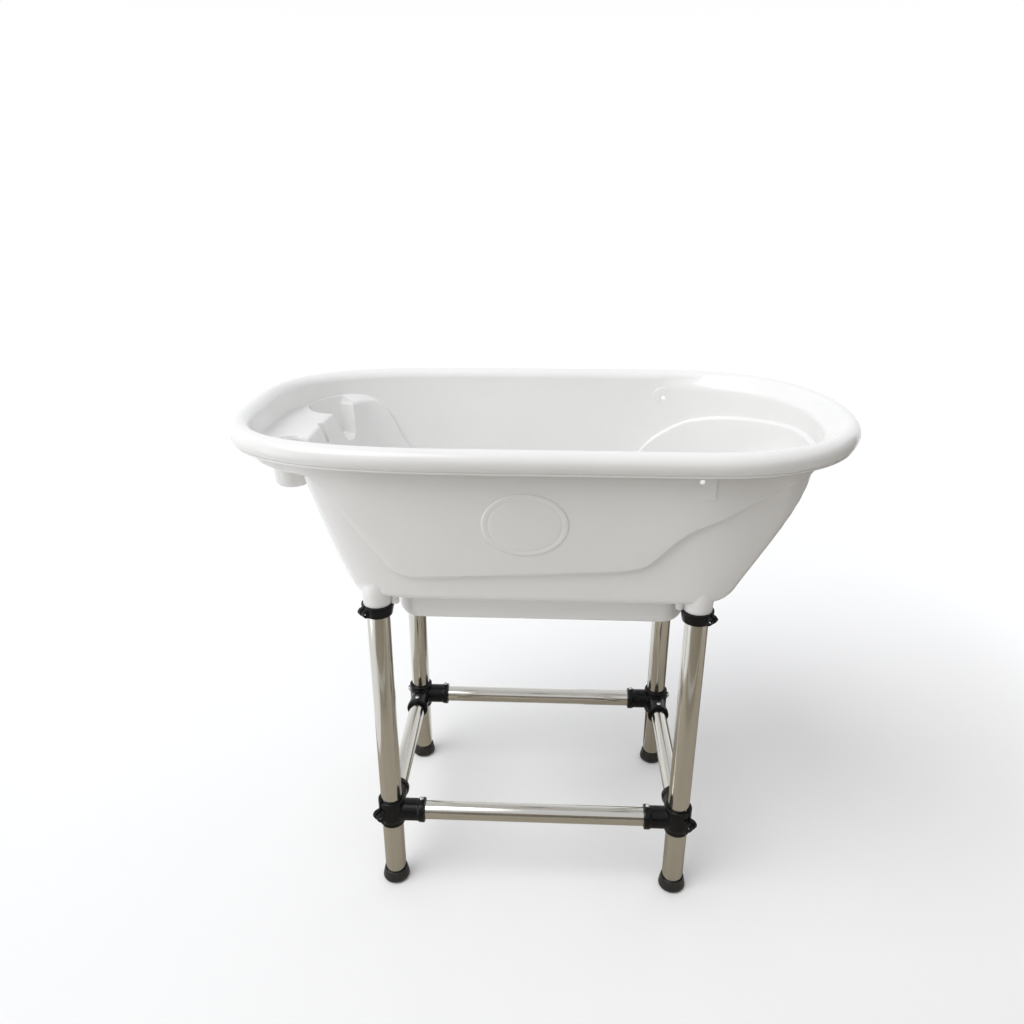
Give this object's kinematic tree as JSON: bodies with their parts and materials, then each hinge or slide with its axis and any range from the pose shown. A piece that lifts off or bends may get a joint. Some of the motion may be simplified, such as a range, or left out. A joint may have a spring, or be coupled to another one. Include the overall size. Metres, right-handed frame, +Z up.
{
  "type": "pet bathtub",
  "caption": "Raised pet bathtub: moulded oval tub with stepped floor, bottle holders and plugged drain, on a tube stand with a clamped, height-adjustable brace frame.",
  "frame": {"origin": "on the floor under the middle of the tub, at the bottom centre of the bounding box", "axes": "+X along the tub towards its sloped back-rest end, +Y towards the back wall, +Z up; the bottle holders are at -X"},
  "size_m": [0.94, 0.504, 0.806],
  "materials": {
    "tub_plastic": "glossy moulded polypropylene, off-white",
    "polished_tube": "polished stainless steel tube",
    "clamp_plastic": "glossy black moulded nylon",
    "screw_steel": "zinc-plated pan-head screw",
    "foot_rubber": "black moulded rubber",
    "seal_rubber": "black seal rubber",
    "drain_plastic": "dark grey moulded plastic",
    "drain_steel": "pressed stainless steel"
  },
  "bodies": {
    "root": {"tub_shell": "tub_plastic", "leg_front_left": "polished_tube", "foot_front_left": "foot_rubber", "collar_front_left": "clamp_plastic", "collar_screw_front_left": "screw_steel", "leg_front_right": "polished_tube", "foot_front_right": "foot_rubber", "collar_front_right": "clamp_plastic", "collar_screw_front_right": "screw_steel", "leg_back_right": "polished_tube", "foot_back_right": "foot_rubber", "collar_back_right": "clamp_plastic", "collar_screw_back_right": "screw_steel", "leg_back_left": "polished_tube", "foot_back_left": "foot_rubber", "collar_back_left": "clamp_plastic", "collar_screw_back_left": "screw_steel", "drain_flange": "drain_steel", "drain_gasket": "seal_rubber", "drain_nut": "drain_plastic", "drain_spigot": "drain_plastic"},
    "brace_frame": {"connector_front_left": "clamp_plastic", "connector_screw_front_left": "screw_steel", "rail_screw_long_front_left": "screw_steel", "rail_screw_short_front_left": "screw_steel", "connector_front_right": "clamp_plastic", "connector_screw_front_right": "screw_steel", "rail_screw_long_front_right": "screw_steel", "rail_screw_short_front_right": "screw_steel", "connector_back_right": "clamp_plastic", "connector_screw_back_right": "screw_steel", "rail_screw_long_back_right": "screw_steel", "rail_screw_short_back_right": "screw_steel", "connector_back_left": "clamp_plastic", "connector_screw_back_left": "screw_steel", "rail_screw_long_back_left": "screw_steel", "rail_screw_short_back_left": "screw_steel", "rail_front": "polished_tube", "rail_back": "polished_tube", "rail_left": "polished_tube", "rail_right": "polished_tube"},
    "strainer": {"strainer": "drain_steel"},
    "plug": {"drain_plug": "seal_rubber"}
  },
  "joints": [
    {"name": "brace_height", "type": "slide", "parent": "root", "child": "brace_frame", "axis": [0, 0, 1], "range_m": [-0.09, 0.3]},
    {"name": "strainer_lift", "type": "slide", "parent": "root", "child": "strainer", "axis": [0, 0, 1], "range_m": [0, 0.1]},
    {"name": "plug_lift", "type": "slide", "parent": "strainer", "child": "plug", "axis": [0, 0, 1], "range_m": [0, 0.12]}
  ]
}
